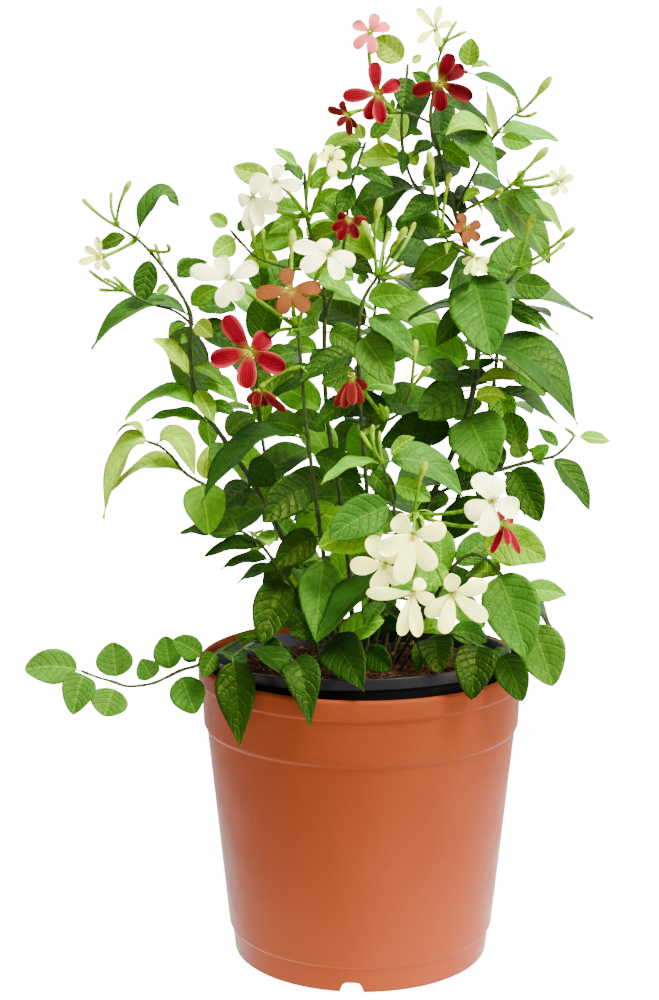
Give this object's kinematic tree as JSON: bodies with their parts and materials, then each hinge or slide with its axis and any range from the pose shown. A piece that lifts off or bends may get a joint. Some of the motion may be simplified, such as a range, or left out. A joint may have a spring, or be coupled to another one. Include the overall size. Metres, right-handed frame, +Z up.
{
  "type": "potted plant",
  "caption": "Potted rangoon creeper with ovate leaves and white, pink and red star flowers on slender tubes, in a black nursery pot set in a terracotta plastic pot.",
  "frame": {"origin": "centre of the outer pot's foot, on the surface it stands on", "axes": "+Z up along the outer pot's axis, -Y towards the front of the plant, +X to the right as seen from the front"},
  "size_m": [0.3588, 0.2259, 0.5906],
  "materials": {
    "terracotta_plastic": "satin",
    "black_plastic": "satin",
    "potting_mix": "matte",
    "foliage": "satin",
    "flower_stalk": "satin",
    "petal_red": "matte",
    "petal_dark_red": "matte",
    "petal_pink": "matte",
    "petal_fading": "matte",
    "petal_cream": "matte",
    "petal_white": "matte",
    "petal_peach": "matte"
  },
  "bodies": {
    "root": {"outer_pot": "terracotta_plastic", "nursery_pot": "black_plastic", "soil": "potting_mix", "stem_tall": "foliage", "stem_centre": "foliage", "stem_left": "foliage", "stem_young": "foliage", "stem_bloom": "foliage", "stem_crown": "foliage", "stem_front": "foliage", "stem_right": "foliage", "stem_low_right": "foliage", "stem_bud_right": "foliage", "stem_upper_right": "foliage", "stem_right_top": "foliage", "stem_top_shoot": "foliage", "stem_middle": "foliage", "stem_upper_left": "foliage", "stem_low_left": "foliage", "stem_low_front": "foliage", "stem_low_rim": "foliage", "stem_trail": "foliage", "stem_rim_left": "foliage", "stem_back_left": "foliage", "stem_back_middle": "foliage", "stem_back_right": "foliage", "spray_top_left": "flower_stalk", "spray_top_right": "flower_stalk", "spray_upper_right": "flower_stalk", "spray_upper_middle": "flower_stalk", "spray_bloom": "flower_stalk", "spray_centre": "flower_stalk", "spray_low": "flower_stalk", "spray_yellow": "flower_stalk", "corolla_red_top_left": "petal_red", "corolla_pink_top": "petal_pink", "corolla_drooping_top": "petal_fading", "corolla_red_top_right": "petal_dark_red", "corolla_cream_top": "petal_cream", "corolla_white_right": "petal_cream", "corolla_white_upper": "petal_white", "corolla_white_upper_right": "petal_white", "corolla_cream_middle": "petal_cream", "corolla_crimson_middle": "petal_dark_red", "corolla_white_large": "petal_white", "corolla_white_left": "petal_white", "corolla_peach": "petal_peach", "corolla_red_large": "petal_red", "corolla_fading_left": "petal_fading", "corolla_folded": "petal_fading", "corolla_tan_right": "petal_cream", "corolla_peach_right": "petal_peach", "corolla_cream_left": "petal_cream", "corolla_white_low_left": "petal_white", "corolla_white_low": "petal_white", "corolla_white_hanging": "petal_white", "corolla_white_low_right": "petal_white", "corolla_white_right_low": "petal_white", "corolla_red_small": "petal_red"}
  },
  "joints": []
}
